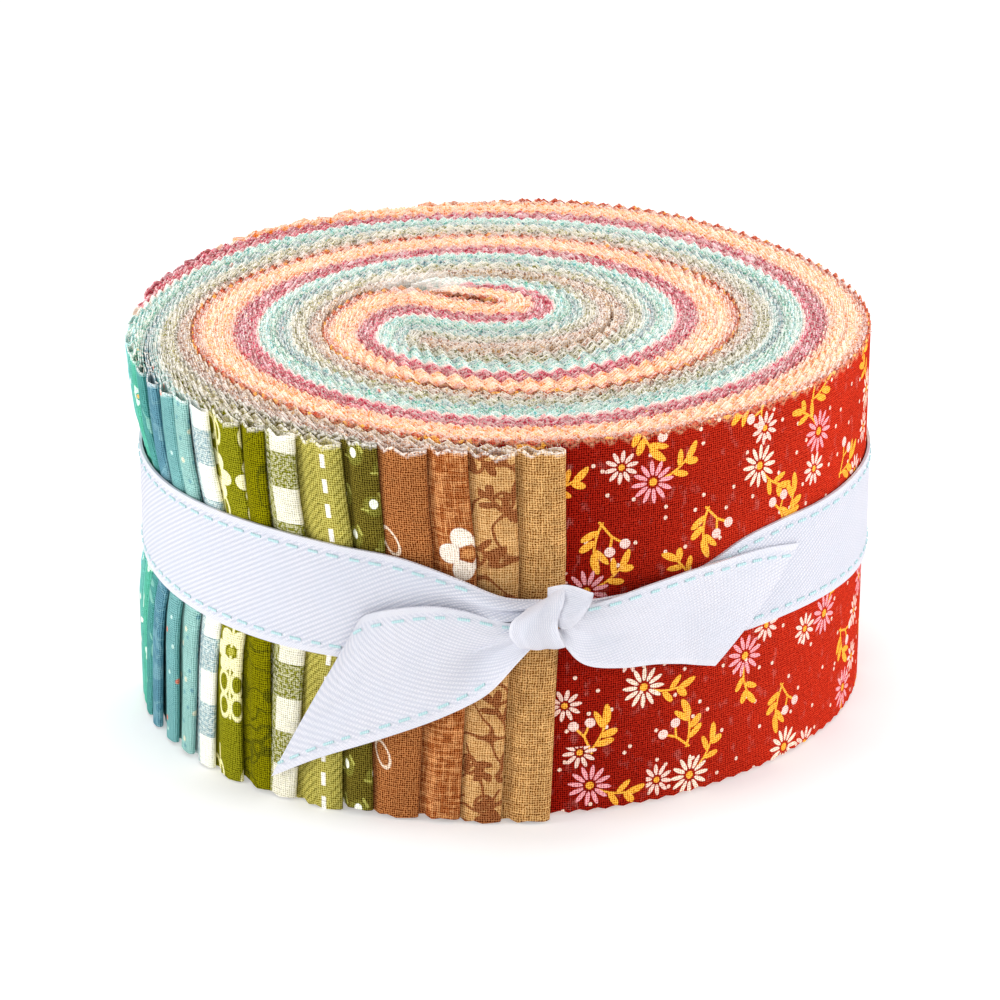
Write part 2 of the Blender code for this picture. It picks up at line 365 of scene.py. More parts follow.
class Nodes:
    """A node tree being written, with short calls for the nodes used most."""

    family = "GeometryNode"

    def __init__(self, tree):
        self.tree = tree

    def add(self, kind, sockets=None, **settings):
        """A new node. A kind without Node in its name is one of the tree's own family."""
        node = self.tree.nodes.new(kind if "Node" in kind else self.family + kind)
        for name, value in settings.items():
            setattr(node, name, value)
        for name, value in (sockets or {}).items():
            self.put(node.inputs[name], value)
        return node

    def put(self, socket, value):
        """Links a socket to a field, a node or another socket, or sets it to a plain value."""
        if isinstance(value, Field):
            value = value.socket
        if isinstance(value, bpy.types.Node):
            value = value.outputs[0]
        if isinstance(value, bpy.types.NodeSocket):
            self.tree.links.new(value, socket)
        else:
            socket.default_value = value

    def field(self, kind, sockets=None, output=0, **settings):
        """One output of a new node, to write sums with."""
        return Field(self, self.add(kind, sockets, **settings).outputs[output])

    def math(self, operation, *values):
        return self.field("ShaderNodeMath", dict(enumerate(values)), operation=operation)

    def added(self, first, second):
        return self.field("ShaderNodeVectorMath", {0: first, 1: second}, operation="ADD")

    def scaled(self, vector, scale):
        sockets = {0: vector, "Scale": scale}
        return self.field("ShaderNodeVectorMath", sockets, operation="SCALE")

    def combine(self, x, y, z=0.0):
        return self.field("ShaderNodeCombineXYZ", {"X": x, "Y": y, "Z": z})

    def split(self, vector):
        parts = self.add("ShaderNodeSeparateXYZ", {"Vector": vector}).outputs
        return [Field(self, part) for part in parts]

    def value_of(self, name, kind="FLOAT"):
        return self.field("InputNamedAttribute", {"Name": name}, "Attribute", data_type=kind)

    def length(self, x, y):
        return self.math("SQRT", x * x + y * y)

    def chance(self, low, high, seed):
        """A random vector between two others for each point."""
        sockets = {"Min": low, "Max": high, "Seed": seed}
        return self.field("FunctionNodeRandomValue", sockets, data_type="FLOAT_VECTOR")


SOCKETS = {"Geometry": "Geometry", "Section": "Object", "Seed": "Int", "Material": "Material"}


def new_tree(name, *labels):
    """A geometry tree with named inputs: its writer, what it is given, and its last step."""
    tree = bpy.data.node_groups.new(name, "GeometryNodeTree")
    labels = ("Geometry", *labels, "Material")
    for label in labels:
        kind = "NodeSocket" + SOCKETS.get(label, "Float")
        tree.interface.new_socket(label, in_out="INPUT", socket_type=kind)
    tree.interface.new_socket("Geometry", in_out="OUTPUT", socket_type="NodeSocketGeometry")
    nodes = Nodes(tree)
    sockets = nodes.add("NodeGroupInput").outputs
    given = {label: Field(nodes, sockets[label]) for label in labels}

    def finish(geometry):
        sockets = {"Geometry": geometry, "Material": given["Material"]}
        painted = nodes.add("SetMaterial", sockets)
        nodes.put(nodes.add("NodeGroupOutput").inputs[0], painted)
        return tree

    return nodes, given, finish


def grow(line, tree, settings):
    """The plain mesh that a tree makes of a line, with the line and the modifier gone."""
    modifier = line.modifiers.new("Grow", "NODES")
    modifier.node_group = tree
    for item in tree.interface.items_tree:
        if item.in_out == "INPUT" and item.name in settings:
            modifier[item.identifier] = settings[item.name]
    bpy.context.view_layer.update()
    graph = bpy.context.evaluated_depsgraph_get()
    mesh = bpy.data.meshes.new_from_object(line.evaluated_get(graph))
    line.modifiers.remove(modifier)
    bpy.data.meshes.remove(line.data)
    return mesh


# What bends a fold out of the upright, by the height up the cloth in metres.
FALL_BELOW, FALL_CURVE = 0.062, 1.6  # its foot slants away
PINCH_AT, PINCH_REACH = 0.041, 0.012
SWAYS, SWAY_STEP = 95.0, 1.7
FLARE_ABOVE, FLARE_REACH, FLARE = 0.046, 0.0175, 0.0009  # its top swells over the tape
TAPE_AT, TAPE_REACH = 0.0372, 0.0128
SHARP_EDGE = 0.8
WELDED = 0.000002  # how near each other two points become one

# The loose threads, in metres. Each pair is the least and the most of a random vector.
FRAY = 6.0  # the value of "bare" on a loose thread
HAIR = {"Vertices": 3, "Radius Top": 0.0, "Radius Bottom": 0.00009, "Depth": 0.001}
HAIR_ROOT = (-0.0002, -0.0002, -0.0007), (0.0002, 0.0002, 0.0)
HAIR_LEAN = (0.35, 0.0, 0.0), (1.55, 0.0, TURN)
HAIR_SIZE = (0.6, 0.6, 0.4), (1.0, 1.0, 1.2)


def loose_threads(nodes, line, top, spacing, seed):
    """Short thin hairs along a line's upper edge, each leaning its own way."""
    add = nodes.add
    points = add("CurveToPoints", {"Curve": line, "Length": spacing}, mode="LENGTH")
    root = nodes.added(top, nodes.chance(*HAIR_ROOT, seed))
    sown = {
        "Points": add("SetPosition", {"Geometry": points, "Offset": root}),
        "Instance": add("MeshCone", HAIR, fill_type="NGON").outputs["Mesh"],
        "Rotation": nodes.chance(*HAIR_LEAN, seed),
        "Scale": nodes.chance(*HAIR_SIZE, seed),
    }
    hairs = add("RealizeInstances", {"Geometry": add("InstanceOnPoints", sown)})
    marked = {"Geometry": hairs, "Name": "bare", "Value": FRAY}
    return add("StoreNamedAttribute", marked, data_type="FLOAT", domain="POINT")


def winding_tree():
    """Sweeps a strip's cross-section along its line, cuts the notches and frays the edge."""
    shaping = ("Width", "Notch depth", "Notch at foot", "Pinch at tape", "Slant of fold", "Sway")
    others = ("Squeeze under tape", "Thread spacing", "Seed")
    nodes, given, finish = new_tree("Wound strip", "Section", *shaping, *others)
    add, value_of = nodes.add, nodes.value_of
    curve = add("MeshToCurve", {"Mesh": given["Geometry"]})
    level = add("SetCurveNormal", {"Curve": curve}, mode="Z_UP")
    section = add("ObjectInfo", {"Object": given["Section"]})
    profile = add("MeshToCurve", {"Mesh": section.outputs["Geometry"]})
    sweep = add("CurveToMesh", {"Curve": level, "Profile Curve": profile, "Fill Caps": True})

    height, notch = value_of("height"), value_of("notch")
    at_end = height > 0.5
    share = at_end + (height - at_end) * value_of("shown")
    low = given["Notch depth"] * (1.0 - notch) * given["Notch at foot"]
    high = given["Width"] - given["Notch depth"] * notch
    across = low + (high - low) * share
    fallen = nodes.math("MAXIMUM", 1.0 - across / FALL_BELOW, 0.0) ** FALL_CURVE
    pinched = nodes.math("EXPONENT", -(((across - PINCH_AT) / PINCH_REACH) ** 2.0))
    swing = nodes.math("SINE", across * SWAYS + given["Seed"] * SWAY_STEP)
    slide = pinched * given["Pinch at tape"] - fallen * given["Slant of fold"]
    slide = slide + swing * given["Sway"]
    moved = nodes.scaled(value_of("onwards", "FLOAT_VECTOR"), slide)
    place = add("InputPosition")
    flare = nodes.math("MAXIMUM", (across - FLARE_ABOVE) / FLARE_REACH, 0.0) ** 1.5
    under_tape = nodes.math("EXPONENT", -((((across - TAPE_AT) / TAPE_REACH) ** 2.0) ** 2.0))
    drawn = flare * FLARE - under_tape * given["Squeeze under tape"]
    pressed = nodes.scaled(value_of("outwards", "FLOAT_VECTOR"), drawn)
    flat = nodes.split(nodes.added(place, nodes.added(moved, pressed)))
    upright = nodes.combine(flat[0], flat[1], across + value_of("lift"))
    shaped = add("SetPosition", {"Geometry": sweep, "Position": upright})
    closed = add("MergeByDistance", {"Geometry": shaped, "Distance": WELDED})

    top = nodes.combine(0.0, 0.0, high + value_of("lift"))
    threads = loose_threads(nodes, level, top, given["Thread spacing"], given["Seed"])
    joined = add("JoinGeometry")
    for part in (closed, threads):
        nodes.put(joined.inputs[0], part)
    on_cloth = nodes.combine(value_of("along"), across / MM)
    laid = {"Geometry": joined, "Name": "cloth", "Value": on_cloth}
    mapped = add("StoreNamedAttribute", laid, data_type="FLOAT2", domain="CORNER")
    sharp = nodes.field("InputMeshEdgeAngle") > SHARP_EDGE
    edges = {"Geometry": mapped, "Selection": sharp, "Shade Smooth": False}
    return finish(add("SetShadeSmooth", edges, domain="EDGE"))


def cloth_section():
    """The cross-section of the cloth: up its printed side and down its bare one."""
    heights = np.linspace(0, 1, ROWS)
    ring = [(-CLOTH / 2, -h) for h in heights] + [(CLOTH / 2, -h) for h in heights[::-1]]
    points = np.hstack([np.array(ring), np.zeros((2 * ROWS, 1))]) * MM
    values = {
        "height": np.concatenate([heights, heights[::-1]]),
        "bare": np.repeat([0.0, 1.0], ROWS),
    }
    return line_mesh("cloth_section", points, values, closed=True)


# ---- cotton prints

WHITE = (250, 246, 238)
FRINGE = (255, 250, 244)
WRONG_SIDE = (250, 236, 220)
PALE_BACK = 0.55  # how much paler the wrong side of the cloth is
PAINTED_EDGE_GLOW = 0.1  # painted glow: light that the cloth gives off near its cut edges, brightening the shade between its layers
EDGE_GLOWS = (3.0, 0.6)  # how far below the top it starts and is full
FRINGE_INSIDE, FRINGE_OUTSIDE = 1.9, 0.8  # how deep the fringe is, within the roll and on its side
FOOT_SPARED = 0.9  # how much less of it the foot has
COTTON = {
    "Roughness": 0.92,
    "Specular IOR Level": 0.0,
    "Sheen Weight": 0.01,
    "Sheen Roughness": 0.6,
}
CORE_AT, CORE_REACH = (-14.0, 15.5), (8.0, 2.0)  # mm, the middle of the roll, where the edges are painted whiter for their frayed threads and with a painted highlight


def linear(colour):
    """A colour given as 0-255 screen values, as the light that it stands for."""
    parts = [value / 255 for value in colour]
    light = [v / 12.92 if v <= 0.04045 else ((v + 0.055) / 1.055) ** 2.4 for v in parts]
    return (*light, 1.0)


class Cloth(Nodes):
    """The paint of one cloth, in millimetres along it (u) and up it (v)."""

    family = "ShaderNode"

    def __init__(self, name):
        self.material = bpy.data.materials.new(name)
        self.material.use_nodes = True
        super().__init__(self.material.node_tree)
        self.u, self.v, _ = self.split(self.add("UVMap", uv_map="cloth"))

    def measured(self, name):
        return self.field("Attribute", output="Fac", attribute_name=name)

    def soft(self, value, low, high):
        """0 below one bound and 1 above the other, smoothly."""
        bounds = {"Value": value, "From Min": low, "From Max": high}
        return self.field("MapRange", bounds, interpolation_type="SMOOTHSTEP")

    def noise(self, x, y, size, seed=0.0, detail=2.0):
        place = self.combine(x / size, y / size, seed)
        return self.field("TexNoise", {"Vector": place, "Scale": 1.0, "Detail": detail})

    def mix(self, share, first, second):
        """One colour turning into another, each a socket or 0-255 screen values."""
        node = self.add("Mix", data_type="RGBA")
        ends = [linear(end) if isinstance(end, tuple) else end for end in (first, second)]
        for index, value in zip((0, 6, 7), (share, *ends)):
            self.put(node.inputs[index], value)
        return node.outputs[2]

    def cells(self, wide, high, seed=0.0, jitter=0.2, shift=(0.0, 0.0), turned=True):
        """Bricks of the cloth: mm from each one's wandering middle, and random numbers."""
        row = self.math("FLOOR", (self.v + shift[1]) / high)
        along = (self.u + shift[0]) / wide + (row % 2.0) * 0.5
        column = self.math("FLOOR", along)
        brick = {"Vector": self.combine(column, row, seed)}
        luck = self.field("TexWhiteNoise", brick, "Color", noise_dimensions="3D")
        first, second, third = self.split(luck)
        x = (along - column - 0.5 - (first - 0.5) * jitter) * wide
        y = ((self.v + shift[1]) / high - row - 0.5 - (second - 0.5) * jitter) * high
        if turned:
            x, y = self.turned(x, y, third * TURN)
        return x, y, first, second

    def turned(self, x, y, angle):
        c, s = self.math("COSINE", angle), self.math("SINE", angle)
        return x * c + y * s, y * c - x * s

    def oval(self, x, y, middle, size, degrees=0.0, blur=0.12):
        """1 within an oval, of half sizes in mm and turned by an angle, and 0 outside it."""
        angle = math.radians(degrees)
        dx, dy = x - middle[0], y - middle[1]
        along = (dx * math.cos(angle) + dy * math.sin(angle)) / size[0]
        across = (dy * math.cos(angle) - dx * math.sin(angle)) / size[1]
        return self.soft(along * along + across * across, 1 + 2 * blur, 1 - blur)

    def ring(self, x, y, size, thick):
        """1 on the line of an oval, and 0 beside it."""
        reach = self.length(x / size[0], y / size[1])
        return self.soft(abs(reach - 1.0), thick * 1.4, thick * 0.6)

    def line(self, x, y, start, end, half):
        """1 on a straight line between two points, and 0 beside it."""
        run, rise = end[0] - start[0], end[1] - start[1]
        share = ((x - start[0]) * run + (y - start[1]) * rise) / (run * run + rise * rise)
        share = self.math("MINIMUM", self.math("MAXIMUM", share, 0.0), 1.0)
        off_x, off_y = x - start[0] - share * run, y - start[1] - share * rise
        return self.soft(self.length(off_x, off_y), half * 1.3, half * 0.7)

    def any_of(self, *masks):
        whole = masks[0]
        for mask in masks[1:]:
            whole = self.math("MAXIMUM", whole, mask)
        return whole

    def flower(self, x, y, radius, petals, petal_width=0.8):
        """The petals and the heart of a daisy round the origin."""
        reach = self.length(x, y)
        sector = self.math("ARCTAN2", y, x) * (petals / TURN)
        off = (sector - self.math("ROUND", sector)) * (TURN / petals) * reach
        long, wide = 0.345 * radius, petal_width * math.pi * 0.66 * radius / petals
        along = (reach - 0.65 * radius) / long
        shape = along * along + (off / wide) ** 2.0
        return self.soft(shape, 1.15, 0.85), self.soft(reach, 0.21 * radius, 0.15 * radius)

    def sprig(self, x, y, size=1.0, leaves=((-1.2, -1), (0.4, 1), (1.9, -1))):
        """A bent stem with a leaf at its tip and leaves at its sides, about 8 mm long."""
        x, y = x / size, y / size
        bent = x - y * y * 0.05
        parts = [
            self.soft(abs(bent), 0.3, 0.14) * (abs(y) < 3.4),
            self.oval(bent, y, (0, 3.9), (0.75, 1.7)),
        ]
        for height, side in leaves:
            place = side * 1.25, height + 0.9
            parts.append(self.oval(bent, y, place, (0.62, 1.55), -side * 48))
        return self.any_of(*parts)

    def vines(self, size, thick, seed):
        """Winding lines, where a slow noise crosses its middle value."""
        off = abs(self.noise(self.u, self.v, size, seed, 1.0) - 0.5)
        return self.soft(off, thick, thick * 0.4)

    def dots(self, wide, high, radius, seed, jitter=0.5):
        x, y, *_ = self.cells(wide, high, seed, jitter, turned=False)
        return self.oval(x, y, (0, 0), (radius, radius), blur=0.25)

    def surface(self, sockets, height, strength, distance=0.001):
        """Puts colours and plain numbers on the shader, with a height that dents it."""
        relief = {"Height": height, "Strength": strength, "Distance": distance}
        shader = self.tree.nodes["Principled BSDF"]
        for name, value in {**sockets, "Normal": self.add("Bump", relief)}.items():
            self.put(shader.inputs[name], value)
        return self.material


def weave(c, grain, slubs, pitch):
    """How high the threads stand, how uneven they are, and the share of gap between them."""
    wander = c.noise(c.u, c.v, 1.6, 15.0, 1.0) * 0.35
    warp = c.math("COSINE", (c.u + wander) * (math.pi / pitch))
    weft = c.math("COSINE", (c.v - wander) * (math.pi / pitch))
    over = warp * weft
    thread = (warp * warp * (over + 1.0) - weft * weft * (over - 1.0)) * 0.5
    along_weft = c.noise(c.u * 0.12, c.v, 0.42, 3.0, 1.0)
    along_warp = c.noise(c.u, c.v * 0.12, 0.42, 7.0, 1.0)
    grit = (c.noise(c.u, c.v, 0.34, 12.0, 1.0) - 0.5) * 0.9 * grain
    gap = 1.0 - c.soft(thread + grit, -0.05, 0.62)
    return thread, (along_weft + along_warp - 1.0) * slubs, gap


def cut_edges(c, pale):
    """How far below the top a place is in mm, and how much fringe and fluff it has. The fringe
    share also holds a painted highlight at the core.
    """
    notch = c.measured("notch") * NOTCH_DEPTH
    from_top = -(c.v + notch) + STRIP_WIDTH
    from_foot = c.v + (notch - NOTCH_DEPTH) * NOTCH_AT_FOOT
    edge = c.math("MINIMUM", from_top, from_foot + FOOT_SPARED)
    fuzz = c.noise(c.u, c.v, 0.5, 5.0, 2.0)
    speck = c.noise(c.u, c.v, 1.3, 9.0, 2.0) - 0.5
    reach = FRINGE_INSIDE - c.measured("shown") * (FRINGE_INSIDE - FRINGE_OUTSIDE)
    near_edge = c.soft(edge + speck * reach * 1.6, reach, 0.15)
    # At the core the fringe is whiter, for its frayed threads and as a painted highlight.
    place = c.split(c.field("TexCoord", output="Object"))
    off_x, off_y = place[0] / MM - CORE_AT[0], place[1] / MM - CORE_AT[1]
    at_core = c.soft(c.math("SQRT", off_x * off_x * 0.5 + off_y * off_y), *CORE_REACH)
    spotted = c.soft(c.noise(c.u, c.v * 0.8, 0.45, 21.0, 1.0), 0.43, 0.55)
    fluff = c.soft(fuzz + speck * 0.8, 0.5, 0.58) * c.soft(edge - reach, -0.2, -0.9)
    return from_top, near_edge * (at_core * 0.6 + spotted * pale + pale * 0.12), fluff


def finish_cloth(
    c, print_colour, grain=1.0, slubs=0.35, pitch=0.37, fringe=FRINGE, fluffy=0.65, pale=0.55
):
    """Weaves, wears and frays a printed cloth, and gives it its soft, rough surface.

    A cloth's wear is the grain of its weave, how its slubs stand out, the pitch of its threads
    in mm, its fringe's colour, how fluffy its cut edge is and how pale its wrong side is.
    """
    thread, uneven, gap = weave(c, grain, slubs, pitch)
    tone_drift = (c.noise(c.u, c.v, 11.0, 2.0, 3.0) - 0.5) * 0.25
    deep = c.add("Gamma", {"Color": print_colour, "Gamma": gap * 1.15 * grain + 0.9})
    tone = 1.18 - gap * 0.48 * grain + uneven + tone_drift
    woven = c.add("HueSaturation", {"Value": tone, "Color": deep})
    wrong_side = c.mix(c.measured("bare") * (PALE_BACK * pale * pale), woven, WRONG_SIDE)

    from_top, frayed, fluff = cut_edges(c, pale)
    tuft = c.mix(0.8, print_colour, fringe)
    cotton = c.mix(fluff * fluffy, c.mix(frayed, wrong_side, fringe), tuft)
    crease = c.noise(c.u * 0.5, c.v, 6.0, 4.0, 2.0)
    sockets = {
        "Base Color": cotton,
        # Painted glow: near its top edge the cloth gives off light in its own colour, filling the
        # shade in the gaps between the layers, stronger on paler cloths.
        "Emission Color": c.mix(c.soft(from_top, *EDGE_GLOWS), (0, 0, 0), cotton),
        "Emission Strength": PAINTED_EDGE_GLOW * (0.5 + pale),
        **COTTON,
    }
    return c.surface(sockets, thread * 0.07 + uneven * 0.1 + crease * 0.9, 0.55)


def checked(c, size, colour, ground=WHITE, middle=None, start=(0.0, 1.3)):
    """Gingham: full colour where the stripes cross, and its middle tone where they don't."""
    across = ((c.u - start[0]) / (2 * size)) % 1.0 < 0.5
    up = ((c.v + start[1]) / (2 * size)) % 1.0 < 0.5
    middle = middle or tuple((a + b) / 2 for a, b in zip(colour, ground))
    return c.mix(across * up, c.mix(c.any_of(across, up), ground, middle), colour)


def stippled_check(c, dark, light, middle, start, speck):
    """A wide gingham woven of two tones of thread."""
    stipple = c.soft(c.noise(c.u, c.v, 0.5, 6.0), 0.44, 0.56)
    return c.mix(stipple * 0.5, checked(c, 6.0, dark, light, middle, (start, 6.2)), speck)


def crosshatched(c, dark, light):
    """Threads of two tones, both along the cloth and up it."""
    level = c.noise(c.u * 0.14, c.v, 0.55, 1.0) + c.noise(c.u, c.v * 0.14, 0.55, 4.0)
    return c.mix(c.soft(level, 0.85, 1.2), dark, light)


def plain_linen(c):
    knots = c.soft(c.noise(c.u * 0.7, c.v, 0.8, 11.0), 0.68, 0.74)
    return c.mix(knots * 0.5, crosshatched(c, (186, 140, 84), (208, 164, 104)), (140, 96, 54))


def brown_scrolls(c):
    x, y, *_ = c.cells(8.0, 8.4, 3.0, 0.25, (2.0, 1.0))
    curl = c.ring(x + 1.0, y, (1.5, 1.5), 0.2) * (x < 0.6)
    lines = c.any_of(c.vines(7.5, 0.03, 3.0), c.sprig(x, y, 0.95), curl)
    return c.mix(lines * 0.88, crosshatched(c, (194, 148, 92), (210, 168, 112)), (138, 74, 38))


def white_bloom_on_crosshatch(c):
    ground = crosshatched(c, (158, 88, 42), (204, 144, 90))
    x, y, *_ = c.cells(15.0, 60.0, 4.0, 0.0, (6.3, -15.6), turned=False)
    petals, heart = c.flower(x, y, 4.7, 5, 0.92)
    return c.mix(heart, c.mix(petals * 0.92, ground, (250, 240, 226)), (206, 146, 88))


def oval_rings(c):
    x, y, *_ = c.cells(20.0, 18.15, 2.0, 0.0, (3.3, -1.7), turned=False)
    x = (x + 5.0) % 10.0 - 5.0
    rings = c.ring(x - y * 0.35, y, (1.3, 2.2), 0.14)
    return c.mix(rings * 0.85, (168, 106, 58), (244, 226, 204))


def dots_in_halos(c):
    x, y, *_ = c.cells(5.0, 6.6, 5.0, 0.3, (0.6, 2.4), turned=False)
    around = c.oval(x, y + 0.4, (0, 0), (1.5, 1.6), blur=0.3) * 0.5
    halo = c.mix(around, (104, 92, 30), (146, 146, 60))
    left = c.line(x, y, (-1.6, 0.4), (-0.9, 1.7), 0.24)
    right = c.line(x, y, (0.9, -1.2), (1.9, -1.0), 0.2)
    halo = c.mix(c.any_of(left, right) * 0.8, halo, (186, 184, 92))
    return c.mix(c.oval(x, y, (0, 0), (0.62, 0.8), blur=0.2), halo, (246, 248, 232))


def dashes_and_strokes(c):
    off_line = abs(((c.u + 0.6) % 7.6) - 3.8)
    dash = c.soft(off_line, 0.5, 0.25) * ((c.v % 4.2) < 2.3)
    slant = c.soft(abs(((c.u * 1.1 + c.v) % 1.5) - 0.75), 0.4, 0.15)
    strokes = c.soft(off_line, 1.0, 1.5) * slant * 0.55
    return c.mix(dash, c.mix(strokes, (180, 170, 84), (122, 116, 44)), WHITE)


def olive_vines(c):
    marks = c.any_of(c.vines(7.0, 0.02, 2.0), c.dots(9.0, 12.0, 1.1, 3.0))
    return c.mix(marks * 0.6, (124, 119, 4), (68, 70, 12))


def cream_flowers_on_olive(c):
    a, b, *_ = c.cells(9.0, 30.0, 9.0, 0.0, (2.4, -8.0), turned=False)
    pair = abs(a) - 1.4
    leaves = c.any_of(*(c.ring(pair, b - z, (1.1, 1.9), 0.22) for z in (-9.8, -5.6, 7.4)))
    stem = c.soft(abs(a), 0.34, 0.18) * (abs(b) < 12.0)
    petals, heart = c.flower(a, b, 4.1, 6, 1.0)
    ground = c.mix(c.any_of(leaves, stem), (134, 132, 20), (238, 232, 176))
    return c.mix(heart, c.mix(petals, ground, (240, 234, 190)), (180, 176, 70))


def little_specks(c, ground, mark, second=None, wide=3.4, radius=0.5):
    first = c.mix(c.dots(wide, wide, radius, 1.0), ground, mark)
    if second is None:
        return first
    return c.mix(c.dots(wide * 1.7, wide * 1.5, radius * 1.3, 4.0), first, second)


def tone_on_tone(c, ground, mark, size=5.0):
    marks = c.any_of(c.vines(size, 0.04, 1.0), c.dots(4.0, 4.4, 0.6, 1.0))
    return c.mix(marks * 0.7, ground, mark)


def small_daisies(c, ground, petal, heart_colour, cell=8.0, radius=2.0):
    x, y, *_ = c.cells(cell, cell * 0.95, 1.0, 0.3)
    petals, heart = c.flower(x, y, radius, 6, 1.0)
    return c.mix(heart, c.mix(petals, ground, petal), heart_colour)


def leafy(c, ground, leaf, cell=10.0, seed=1.0):
    x, y, *_ = c.cells(cell, cell, seed, 0.3)
    return c.mix(c.sprig(x, y, cell / 11.0), ground, leaf)


def red_floral(c):
    """Scattered daisies, golden sprigs, buds in pairs and tiny dots on deep red."""
    gold, rose, cream = (248, 184, 66), (242, 170, 176), (246, 224, 204)
    # Painted sheen and light: the red ground is painted lighter and more orange from 200 mm along
    # the cloth down to 115 mm and nearer its fold, where the side turns towards the right-hand
    # lamp. A slow random tone lies over it.
    tone_drift = c.noise(c.u, c.v, 26.0, 6.0) * 0.2 + c.soft(c.u, 200.0, 115.0) * 0.85
    ground = c.mix(tone_drift, (120, 3, 2), (202, 50, 26))
    ground = c.mix(c.dots(5.4, 5.0, 0.32, 12.0, 0.9), ground, (244, 214, 196))
    x, y, one, two = c.cells(19.0, 17.0, 21.0, 0.22, (4.0, 5.5))
    golden = [c.sprig(x + 1.2, y - 4.6, 0.85)]
    big, heart = c.flower(x, y, 3.6, 12, 0.6)
    beside = c.turned(x - 5.6, y + 2.6, one * TURN)
    small, small_heart = c.flower(*beside, 2.8, 10, 0.62)
    a, b, *_ = c.cells(19.0, 17.0, 33.0, 0.25, (13.5, 14.0))
    golden.append(c.sprig(a, b, 0.95, ((-1.6, -1), (0.2, -1), (1.7, 1))))
    fork, left, right = (2.5, -1.0), (2.7, 1.5), (4.9, -0.1)
    golden.extend(c.line(a, b, fork, tip, 0.2) for tip in (left, right, (0.0, -3.1)))
    buds = c.any_of(*(c.oval(a, b, tip, (0.85, 0.8)) for tip in (left, right)))
    made = c.mix(c.any_of(*golden), ground, gold)
    made = c.mix(buds, made, (246, 212, 202))
    made = c.mix(small, made, (246, 214, 200))
    made = c.mix(big, made, c.mix(two > 0.6, cream, rose))
    made = c.mix(c.any_of(heart, small_heart), made, gold)
    scuffed = c.soft(c.u, 176.0, 190.0) * c.soft(c.v, 42.0, 54.0) * 0.45 + 0.1
    rubbed = c.soft(c.noise(c.u, c.v * 0.6, 1.8, 14.0, 6.0), 0.56, 0.72) * scuffed
    return c.mix(rubbed, made, (232, 196, 182))


OLIVE_CHECK = ((96, 98, 22), (228, 224, 208), (128, 128, 40), 4.6, (228, 224, 196))
BLUE_CHECK = ((112, 144, 154), (240, 240, 228), (158, 182, 186), 3.4, (238, 240, 230))
TEAL_SPECKS = ((148, 190, 184), (110, 158, 164), (214, 214, 190), 3.4, 0.35)
CORAL_DOTS = ((116, 168, 168), (196, 222, 214), (226, 132, 108), 5.0, 0.35)
ROSEBUDS = ((246, 232, 220), (232, 132, 140), (240, 190, 90), 6.5, 1.5)
FRONT = {"fluffy": 0.95, "grain": 1.2}
CRIMSON = {"pale": 0.3}
ORANGE = {"pale": 0.5}
RED = {"grain": 1.3, "fringe": (255, 206, 160), "fluffy": 0.45, "pale": 0.25}

